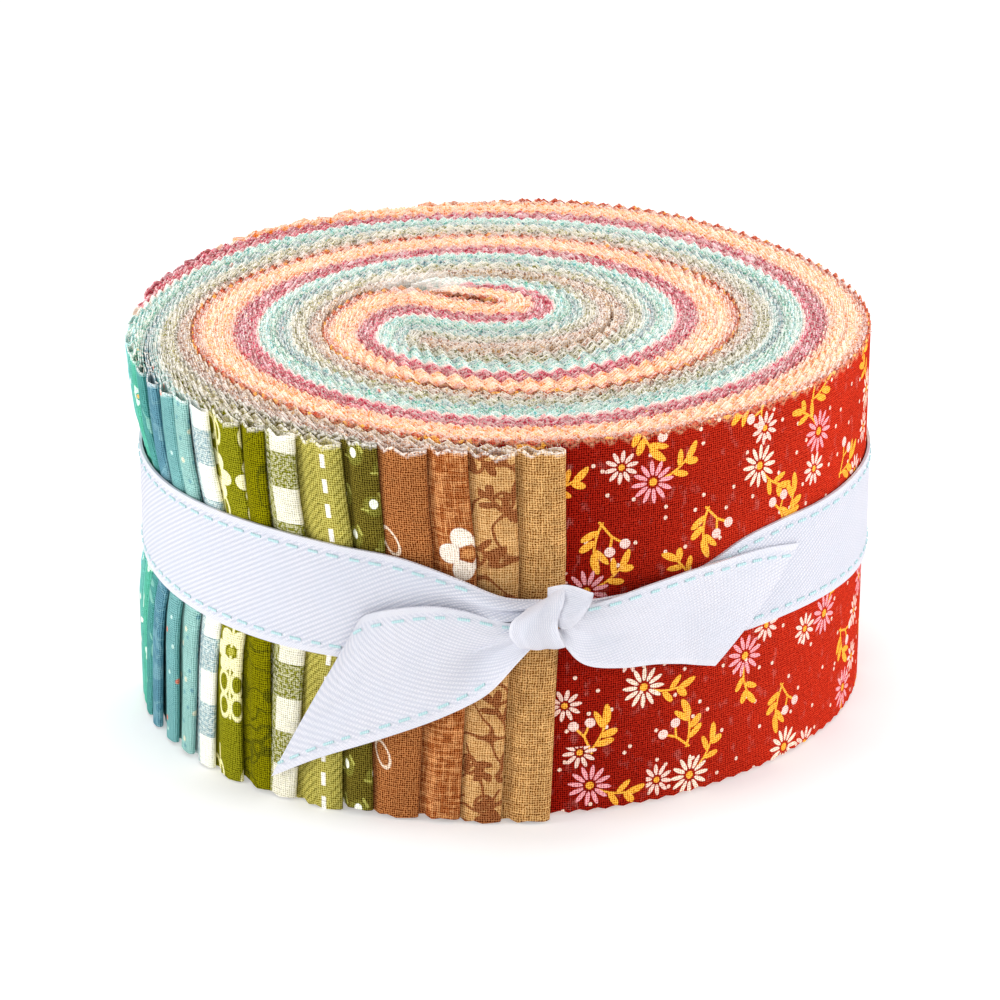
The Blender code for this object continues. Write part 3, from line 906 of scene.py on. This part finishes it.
# From the innermost strip of the stack to the outermost: name, wear, motif and what it is given.
PRINTS = (
    ("khaki_linen", FRONT | {"grain": 1.45, "slubs": 0.5, "pitch": 0.41}, plain_linen),
    ("tan_scrolls", FRONT | {"grain": 1.1, "slubs": 0.4, "pitch": 0.4}, brown_scrolls),
    ("ginger_crosshatch", FRONT | {"slubs": 0.5}, white_bloom_on_crosshatch),
    ("copper_ovals", FRONT | {"grain": 1.5, "slubs": 0.4}, oval_rings),
    ("dark_olive_dots", FRONT, dots_in_halos),
    ("light_olive_dashes", FRONT, dashes_and_strokes),
    ("olive_gingham", {}, stippled_check, *OLIVE_CHECK),
    ("olive_vines", FRONT, olive_vines),
    ("olive_flowers", FRONT, cream_flowers_on_olive),
    ("dusty_blue_gingham", {}, stippled_check, *BLUE_CHECK),
    ("pale_teal_specks", {}, little_specks, *TEAL_SPECKS),
    ("teal_coral_dots", {}, little_specks, *CORAL_DOTS),
    ("dusty_blue_vines", {}, tone_on_tone, (92, 140, 156), (124, 168, 178)),
    ("sea_green_leaves", {}, leafy, (82, 152, 146), (134, 190, 178)),
    ("mint_daisies", {}, small_daisies, (92, 180, 156), (214, 238, 222), (246, 200, 110)),
    ("seafoam_dots", {}, little_specks, (110, 184, 172), WHITE, None, 4.0),
    ("aqua_gingham", {}, checked, 2.4, (120, 200, 200)),
    ("pale_aqua_sprigs", {}, leafy, (214, 236, 228), (120, 190, 180), 9.0, 4.0),
    ("teal_vines", {}, tone_on_tone, (104, 186, 180), (214, 238, 230), 4.0),
    ("cream_rosebuds", {}, small_daisies, *ROSEBUDS),
    ("pink_gingham", CRIMSON, checked, 2.6, (224, 96, 122)),
    ("rose_dots", CRIMSON, little_specks, (206, 52, 88), (250, 214, 218), None, 4.2, 0.7),
    ("crimson_vines", CRIMSON, tone_on_tone, (190, 12, 62), (220, 90, 120)),
    ("raspberry_daisies", CRIMSON, small_daisies, (190, 26, 70), (250, 214, 220), (250, 200, 120)),
    ("berry_gingham", CRIMSON, checked, 2.2, (170, 14, 58), (232, 150, 166)),
    ("crimson_leaves", CRIMSON, leafy, (186, 22, 66), (236, 130, 148)),
    ("rose_red_dots", CRIMSON, little_specks, (204, 56, 66), (252, 214, 190)),
    ("peach_sprigs", ORANGE, leafy, (250, 206, 172), (236, 140, 96), 8.0, 6.0),
    ("orange_gingham", ORANGE, checked, 2.6, (240, 148, 58), (252, 224, 180)),
    ("orange_vines", ORANGE, tone_on_tone, (240, 156, 68), (250, 204, 132)),
    ("golden_daisies", ORANGE, small_daisies, (250, 194, 106), (255, 246, 230), (226, 110, 50)),
    ("peach_dots", ORANGE, little_specks, (250, 208, 160), (236, 138, 80)),
    ("orange_dots", ORANGE, little_specks, (238, 150, 66), (255, 232, 200), None, 4.4, 0.8),
    ("apricot_gingham", ORANGE, checked, 2.2, (242, 160, 84), (252, 220, 176)),
    ("gold_leaves", ORANGE, leafy, (248, 190, 96), (255, 236, 190)),
    ("peach_vines", ORANGE, tone_on_tone, (250, 206, 156), (240, 160, 100)),
    ("tangerine_dots", ORANGE, little_specks, (238, 150, 80), (255, 234, 200)),
    ("rust_sprigs", ORANGE, leafy, (216, 120, 62), (248, 200, 136)),
    ("brick_vines", ORANGE, tone_on_tone, (200, 84, 44), (236, 146, 96)),
    ("red_floral", RED, red_floral),
)


# ---- the tape

TAPE_WIDTH = 19.0
TAPE_THICKNESS = 0.45
TAPE_GAP = 0.2  # between the roll and the band's inner face
TAPE_ROWS = 24
TAPE_ACROSS = np.linspace(0, 1, TAPE_ROWS + 1)[None]  # from its lower edge to its upper one
BAND_STATIONS, TAIL_STATIONS, KNOT_STATIONS = 340, 64, 44
SHARP_TAPE = 0.9  # the least angle between faces that shows as an edge
CREST_UNDER_KNOT = 370.0  # where the folds' outline is followed on past the outermost fold
FULL_HALF_WIDTH = 9.2  # below which the band is drawn together in pleats
PLEATS, PLEAT_DEPTH = 3.5, 0.9
BAND_TILT, BAND_WANDER = 0.1, 0.25  # how unevenly it runs round the roll
BAND = (  # angle in degrees, middle height, half width and lift off the roll
    (10.2, 36.0, 2.6, 1.6),
    (14, 35.2, 3.0, 1.0),
    (24, 33.4, 4.8, 0.5),
    (34, 33.0, 6.2, 0.1),
    (42, 34.0, 7.9, 0.0),
    (50, 34.4, 8.4, 0.0),
    (60, 34.2, 8.6, 0.0),
    (75, 33.8, 9.2, 0.0),
    (90, 33.4, 9.5, 0.0),
    (180, 35.2, 9.5, 0.0),
    (200, 35.6, 9.5, -0.4),
    (245, 36.4, 9.5, -1.2),
    (270, 36.8, 9.5, -1.7),
    (295, 36.8, 9.5, -1.2),
    (335, 36.7, 9.4, -0.5),
    (346, 36.3, 8.8, -0.3),
    (354, 36.3, 6.4, 0.7),
    (361, 37.0, 3.4, 2.6),
    (366, 38.0, 2.2, 3.2),
)
# Angle in degrees, height and lift of the upper edge and then of the lower one, from the knot out.
LEFT_TAIL = (
    (5.0, 37.0, 3.4, 5.0, 33.0, 3.2),
    (1.0, 36.4, 3.0, 2.2, 30.0, 3.2),
    (-5.0, 37.9, 2.1, -2.2, 24.2, 2.6),
    (-10.0, 38.3, 1.6, -8.3, 19.6, 1.5),
    (-15.6, 37.2, 1.2, -17.8, 14.6, 0.9),
    (-19.5, 35.7, 1.0, -27.4, 9.7, 0.6),
    (-20.8, 34.4, 1.0, -35.8, 4.3, 0.5),
)
RIGHT_TAIL = (
    (10.5, 37.8, 2.0, 8.0, 35.0, 3.6),
    (13.5, 38.0, 1.7, 9.4, 32.2, 3.8),
    (17.0, 38.7, 1.8, 12.3, 28.8, 3.4),
    (22.5, 39.6, 1.6, 18.0, 26.9, 2.4),
    (30.0, 40.0, 1.2, 23.5, 26.0, 1.8),
    (38.0, 40.1, 0.9, 28.0, 24.8, 1.4),
    (46.0, 39.6, 0.8, 32.0, 23.5, 1.2),
    (54.0, 38.0, 0.8, 35.5, 22.4, 1.1),
)
# Two points a row, from one side of the cloth to the other, and how far it bulges between them.
KNOT_WRAP = (
    (5.5, -63.6, 38.0, 9.3, -64.0, 41.0, 0.2),
    (4.6, -66.0, 39.2, 9.4, -66.3, 42.8, 0.5),
    (3.0, -67.2, 38.4, 9.3, -68.0, 42.0, 0.9),
    (1.4, -67.7, 37.1, 8.9, -68.7, 40.2, 1.2),
    (1.2, -67.9, 35.3, 8.2, -68.7, 37.7, 1.3),
    (2.1, -67.5, 33.7, 8.5, -68.2, 35.4, 1.1),
    (3.0, -66.6, 32.6, 9.4, -67.0, 33.2, 0.6),
    (3.8, -65.0, 32.2, 9.0, -65.3, 32.4, 0.2),
    (4.5, -63.4, 33.2, 8.4, -63.6, 33.4, 0.0),
)
KNOT_LOBE = (
    (7.0, -64.5, 41.6, 7.0, -66.3, 37.2, 0.6),
    (8.2, -65.9, 42.5, 8.2, -67.4, 36.9, 1.2),
    (9.6, -66.7, 43.0, 9.2, -68.1, 36.6, 1.5),
    (11.2, -66.9, 42.7, 10.3, -68.1, 36.9, 1.5),
    (12.6, -66.6, 42.0, 11.5, -67.7, 37.8, 1.2),
    (13.5, -65.8, 41.3, 12.8, -66.7, 39.3, 0.7),
    (13.7, -64.6, 40.8, 13.5, -64.9, 40.4, 0.1),
)


def stations_of(rows, count):
    """Even stations along a table's rows, and each of its columns at them."""
    stations = np.linspace(0, len(rows) - 1, count)[:, None]
    return stations, smooth_columns([(index, *row) for index, row in enumerate(rows)], stations)


def on_roll(degrees, height, lift):
    """Points off the roll's side, at angles in degrees, heights and lifts off the roll."""
    angle = np.radians(np.mod(degrees, 360))
    angle = np.where(angle < FIRST_FOLD, angle + TURN, angle)
    base = roll_radius(angle)
    share = np.clip((math.pi / 6 - angle) / (math.pi / 6 - FIRST_FOLD), 0, 1)
    (crest,) = smooth_columns(FOLD_OUTLINE, CREST_UNDER_KNOT)
    base = base + np.where(angle < TURN / 2, share * (crest - base), 0)
    flat = spot(angle, base + TAPE_GAP + TAPE_THICKNESS / 2 + lift)
    return np.concatenate([flat, height[..., None]], -1)


def between(first, second, share):
    return first + (second - first) * share


def band_points():
    """The tape round the side, by station and from its lower edge to its upper one."""
    degrees = np.linspace(BAND[0][0], BAND[-1][0], BAND_STATIONS)[:, None]
    height, half, lift = smooth_columns(BAND, degrees)
    up = 2 * TAPE_ACROSS - 1
    gather = np.clip(1 - half / FULL_HALF_WIDTH, 0, 1)
    pleats = PLEAT_DEPTH * gather * np.cos(TAPE_ACROSS * PLEATS * TURN + 0.6)
    tilt = BAND_TILT * np.sin(degrees / 9.0) * up
    across = height + half * up + BAND_WANDER * np.sin(degrees / 21.0)
    return on_roll(degrees + 0 * up, across, lift + pleats + tilt)


def tail_points(rows, dip, curl, flutter):
    """A tail of the tape, by station from the knot to its cut, and from lower to upper edge."""
    stations, columns = stations_of(rows, TAIL_STATIONS)
    top_angle, top, top_lift, low_angle, low, low_lift = columns
    share = TAPE_ACROSS
    near = np.exp(-((stations / 1.6) ** 2))
    ripple = 0.16 * near * np.cos(share * 3.0 * TURN + 1.0)
    hollow = -dip * np.exp(-(((stations - 1.8) / 0.9) ** 2) - ((share - 0.34) / 0.22) ** 2)
    rolled = curl * np.exp(-(((stations - 1.5) / 1.1) ** 2) - (share / 0.13) ** 2)
    loose = flutter * np.sin(stations * 1.1 + 0.7) * np.sin(share * math.pi * 1.3)
    lift = between(low_lift, top_lift, share) + ripple + hollow + rolled + loose
    return on_roll(
        between(low_angle, top_angle, share), between(low, top, share), np.maximum(lift, 0.3)
    )


def bulged_points(rows, pleats, depth):
    """A gathered piece of the knot, by station and across, bulging towards the front."""
    stations, columns = stations_of(rows, KNOT_STATIONS)
    share = TAPE_ACROSS
    place = [between(columns[i], columns[i + 3], share) for i in range(3)]
    round_over = np.sin(math.pi * share)
    folds = depth * np.cos(share * pleats * TURN + stations * 0.35) * round_over**0.5
    place[1] = place[1] - columns[6] * round_over**0.6 - folds
    return np.stack(place, -1)


def outwards_of(grid, side):
    """Which way is out, at each point of a grid whose given side faces out."""
    normal = np.cross(np.gradient(grid, axis=0), np.gradient(grid, axis=1)) * side
    return normal / np.linalg.norm(normal, axis=2)[..., None]


def sheet_mesh(name, grid, side):
    """A closed sheet of the tape's thickness about a grid of points, mapped in millimetres."""
    normal = outwards_of(grid, side)
    stations, rows = grid.shape[:2]
    faces_out = grid + normal * TAPE_THICKNESS / 2
    faces_in = grid - normal * TAPE_THICKNESS / 2
    ring = np.concatenate([faces_out, faces_in[:, ::-1]], axis=1)
    lengths = arc_lengths(grid[:, rows // 2])
    heights = np.linspace(0, TAPE_WIDTH, rows)
    up = np.concatenate([heights, heights[::-1]])
    sides = 2 * rows
    faces = []
    for start in range(0, (stations - 1) * sides, sides):
        for j in range(sides):
            a, b = start + j, start + (j + 1) % sides
            faces.append((a, a + sides, b + sides, b))
    for j in range(rows - 1):
        end = np.array((j, j + 1, sides - 2 - j, sides - 1 - j))
        faces += [end, end[::-1] + (stations - 1) * sides]
    mesh = bpy.data.meshes.new(name)
    mesh.from_pydata([tuple(p) for p in ring.reshape(-1, 3) * MM], [], faces)
    cloth = mesh.uv_layers.new(name="cloth")
    table = np.stack(np.broadcast_arrays(lengths[:, None], up[None]), -1).reshape(-1, 2)
    cloth.data.foreach_set("uv", table[np.ravel(faces)].astype(np.float32).ravel())
    shape = bmesh.new()
    shape.from_mesh(mesh)
    bmesh.ops.recalc_face_normals(shape, faces=shape.faces)
    for edge in shape.edges:
        edge.smooth = edge.calc_face_angle(0) < SHARP_TAPE
    for face in shape.faces:
        face.smooth = True
    shape.to_mesh(mesh)
    shape.free()
    return mesh


# ---- the stitches

STITCH_PITCH = 3.5
STITCH_SHARE = 0.56
STITCH_INSET = 1.8
THREAD_RADIUS = 0.24
THREAD_LIFT = 0.02
STITCH_ROWS = (  # name, piece, how far in from the lower edge, or the upper; first and last station
    ("band_stitch_low", "tape_band", STITCH_INSET, 16, 318),
    ("band_stitch_top", "tape_band", -STITCH_INSET, 16, 330),
    ("left_tail_stitch_low", "tape_left_tail", STITCH_INSET, 20, None),
    ("left_tail_stitch_top", "tape_left_tail", -STITCH_INSET, 8, None),
    ("right_tail_stitch_top", "tape_right_tail", -STITCH_INSET, 8, None),
    ("knot_stitch", "knot_wrap", 10.0, 8, 36),
)


def stitch_tree():
    """Sweeps the dashes of a running stitch along a line."""
    nodes, given, finish = new_tree("Running stitch", "Pitch", "Dash share", "Thread radius")
    add = nodes.add
    gap = (nodes.value_of("along") / given["Pitch"]) % 1.0 > given["Dash share"]
    cut = {"Geometry": given["Geometry"], "Selection": gap}
    dashes = add("DeleteGeometry", cut, domain="POINT", mode="EDGE_FACE")
    curve = add("MeshToCurve", {"Mesh": dashes})
    thread = add("CurvePrimitiveCircle", {"Resolution": 6, "Radius": given["Thread radius"]})
    round_it = {"Curve": curve, "Profile Curve": thread.outputs["Curve"], "Fill Caps": True}
    return finish(add("RealizeInstances", {"Geometry": add("CurveToMesh", round_it)}))


def stitched(name, tree, grid, side, material, inset, first, last):
    """A running stitch on a sheet, at a distance in from its lower edge, or from its upper."""
    surface = grid + outwards_of(grid, side) * (TAPE_THICKNESS / 2 + THREAD_LIFT)
    row = (inset if inset > 0 else TAPE_WIDTH + inset) / TAPE_WIDTH * (grid.shape[1] - 1)
    low = int(row)
    line = between(surface[:, low], surface[:, low + 1], row - low)[first:last]
    lengths = arc_lengths(line)
    fine = np.arange(0, lengths[-1], STITCH_PITCH / 9)
    points = np.stack([np.interp(fine, lengths, line[:, i]) for i in range(3)], -1)
    settings = {
        "Pitch": STITCH_PITCH * MM,
        "Dash share": STITCH_SHARE,
        "Thread radius": THREAD_RADIUS * MM,
        "Material": material,
    }
    return grow(line_mesh(name, points * MM, {"along": fine * MM}), tree, settings)


TAPE_WHITE, TAPE_SHADOW, TAPE_SOIL = (231, 230, 237), (190, 194, 209), (202, 209, 224)
RIB_SLOPE = math.radians(30)


def woven_tape(name, pitch, depth):
    """White tape woven in slanting ribs, with a fine yarn across them."""
    c = Cloth(name)
    cos, sin = math.cos(RIB_SLOPE), math.sin(RIB_SLOPE)
    ribs = (c.v * cos - c.u * sin) / pitch
    rib = c.math("SINE", ribs * TURN) * 0.5 + 0.5
    yarn = c.math("SINE", c.u * (TURN / 0.5)) * c.math("SINE", c.v * (TURN / 0.45))
    loops = c.math("SINE", (c.u * cos + c.v * sin) * (TURN / 0.55))
    selvedge = c.soft(c.math("MINIMUM", c.v, TAPE_WIDTH - c.v), 1.1, 0.8)
    bare = yarn * 0.35 + 0.5
    plain = selvedge * bare + (1.0 - selvedge) * (rib * (loops * 0.4 + 0.8) * 0.7 + yarn * 0.18)
    soil = c.noise(c.u, c.v, 9.0, 3.0, 3.0)
    low = tuple(between(*tones, depth) for tones in zip(TAPE_WHITE, TAPE_SHADOW))
    shade = c.mix(c.soft(plain, -0.1, 0.75), low, TAPE_WHITE)
    shade = c.mix(c.soft(soil, 0.35, 0.75) * 0.25, shade, TAPE_SOIL)
    height = plain * 0.12 * depth + yarn * 0.03 + c.noise(c.u, c.v * 2.0, 7.0, 8.0) * 0.8
    finish = {"Roughness": 0.8, "Specular IOR Level": 0.15, "Sheen Weight": 0.1}
    return c.surface({"Base Color": shade, **finish}, height, 0.6)


def stitch_thread():
    c = Cloth("pale_teal_thread")
    place = c.field("TexCoord", output="Object")
    ply = c.field("TexWave", {"Vector": place, "Scale": 900.0, "Distortion": 1.0}, "Fac")
    shade = c.mix(ply, (166, 210, 214), (204, 230, 232))
    return c.surface({"Base Color": shade, "Roughness": 0.7}, ply, 0.4, 0.0001)


def belongs(made, node):
    """Puts a finished piece on the body, in place of a CAD node."""
    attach(made, "root")
    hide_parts(node)


def make_tape():
    """The tape round the roll, its knot and its two cut tails, with their stitching."""
    face = woven_tape("white_twill_tape", pitch=0.72, depth=0.85)
    back = woven_tape("white_tape_back", pitch=0.66, depth=0.6)
    thread, tree = stitch_thread(), stitch_tree()
    grids = {  # points, and which side of their grid faces out
        "tape_band": (band_points(), 1.0),
        "tape_left_tail": (tail_points(LEFT_TAIL, dip=1.9, curl=1.3, flutter=0.25), -1.0),
        "tape_right_tail": (tail_points(RIGHT_TAIL, dip=0.9, curl=0.0, flutter=0.3), 1.0),
        "knot_wrap": (bulged_points(KNOT_WRAP, pleats=2.0, depth=0.22), -1.0),
        "knot_lobe": (bulged_points(KNOT_LOBE, pleats=1.5, depth=0.25), -1.0),
    }
    pieces = {}
    for name, grid in grids.items():
        mesh = sheet_mesh(name, *grid)
        mesh.materials.append(face if name == "tape_band" else back)
        pieces[name] = piece(name, mesh)
    for name, on, *row in STITCH_ROWS:
        pieces[name] = piece(name, stitched(name, tree, *grids[on], thread, *row))
    for made in pieces.values():
        belongs(made, "ribbon")


# ---- the strips, made

# How far the foot of each strip's fold slants away, in mm.
SLANTS = {3: 1.5, 5: 1.6, 6: 1.0, 8: 1.0, 11: 3.0, 12: 4.2, 13: 5.4, 14: 4.8, 15: 4.0, 16: 3.0}
SLANT = 2.0  # and of any other strip's
STIFF_STRIPS = 4  # the first ones, whose folds hardly sway
WELL_SEEN = 9  # the first ones, whose loose threads stand closer


def squeeze(number):
    """How far the tape presses a fold in, most of all at the left side."""
    return 1.0 + 1.15 * math.exp(-(((number - 18) / 6) ** 2))


def make_strips():
    section, tree = cloth_section(), winding_tree()
    for number, (name, wear, motif, *given) in enumerate(PRINTS, start=1):
        cloth = Cloth(name)
        material = finish_cloth(cloth, motif(cloth, *given), **wear)
        settings = {
            "Section": section,
            "Width": STRIP_WIDTH * MM,
            "Notch depth": NOTCH_DEPTH * MM,
            "Notch at foot": NOTCH_AT_FOOT,
            "Pinch at tape": (0.5 + 0.9 * RANDOM.random()) * MM,
            "Slant of fold": SLANTS.get(number, SLANT) * MM,
            "Sway": (0.15 if number <= STIFF_STRIPS else 0.5) * MM,
            "Squeeze under tape": squeeze(number) * MM,
            "Thread spacing": (0.9 if number <= WELL_SEEN else 1.5) * MM,
            "Seed": number,
            "Material": material,
        }
        mesh = grow(strip_line(number), tree, settings)
        mesh.materials.clear()
        mesh.materials.append(material)
        strip = piece(f"strip_{number:02d}_{name}", mesh)
        belongs(strip, "strip_roll")
    bpy.data.objects.remove(section)


# ---- the studio

SOFT_BOXES = (  # name, place, height aimed at, side, watts
    ("soft_box_left", (-0.95, -0.3, 0.3), 0.03, 0.5, 5.5),
    ("soft_box_right", (0.95, -0.2, 0.3), 0.03, 0.5, 5.6),
    ("soft_box_top", (0.0, 0.15, 0.9), 0.05, 0.6, 5.0),
    ("soft_box_front", (-0.3, -1.2, 0.4), 0.03, 0.6, 2.6),
)
PAPER = {
    "Base Color": (0.78, 0.78, 0.78, 1),
    "Roughness": 0.95,
    "Specular IOR Level": 0.0,
    "Emission Color": (1, 1, 1, 1),
    "Emission Strength": 0.34,
}
SKY = {"Color": (1, 1, 1, 1), "Strength": 0.36}
FLOOR_HALF = 4  # metres
CAMERA_PLACE = (-0.00044, -0.57958, 0.26780)
CAMERA_TILT = math.radians(67.663)  # up from straight down
CAMERA_FILM = (36.0, 132.6)  # width and lens in mm


def set_plain(node, values):
    """Sets a shader's sockets to numbers and colours that are the same all over."""
    for name, value in values.items():
        node.inputs[name].default_value = value


def make_studio():
    """A pale floor, even light all round and soft boxes at the sides, above and in front."""
    scene = bpy.context.scene
    mesh = bpy.data.meshes.new("floor")
    corners = [(x * FLOOR_HALF, y * FLOOR_HALF, 0) for x, y in ((-1, -1), (1, -1), (1, 1), (-1, 1))]
    mesh.from_pydata(corners, [], [(0, 1, 2, 3)])
    paper = bpy.data.materials.new("studio_paper")
    paper.use_nodes = True
    set_plain(paper.node_tree.nodes["Principled BSDF"], PAPER)
    mesh.materials.append(paper)
    piece("floor", mesh)
    scene.world = bpy.data.worlds.new("studio")
    scene.world.use_nodes = True
    set_plain(scene.world.node_tree.nodes["Background"], SKY)
    for name, place, aim, side, power in SOFT_BOXES:
        lamp = bpy.data.lights.new(name, "AREA")
        lamp.shape, lamp.size, lamp.energy = "SQUARE", side, power
        light = piece(name, lamp)
        light.location = place
        towards = Vector((0, 0, aim)) - light.location
        light.rotation_euler = towards.to_track_quat("-Z", "Y").to_euler()
    scene.view_settings.view_transform = "Standard"
    scene.view_settings.look = "None"


def make_camera():
    camera = bpy.data.cameras.new("camera")
    camera.sensor_width, camera.lens = CAMERA_FILM
    camera.clip_start, camera.clip_end = 0.01, 20.0
    viewer = piece("camera", camera)
    viewer.location = CAMERA_PLACE
    viewer.rotation_euler = (CAMERA_TILT, 0, 0)
    bpy.context.scene.camera = viewer


make_camera()
make_strips()
make_tape()
make_studio()
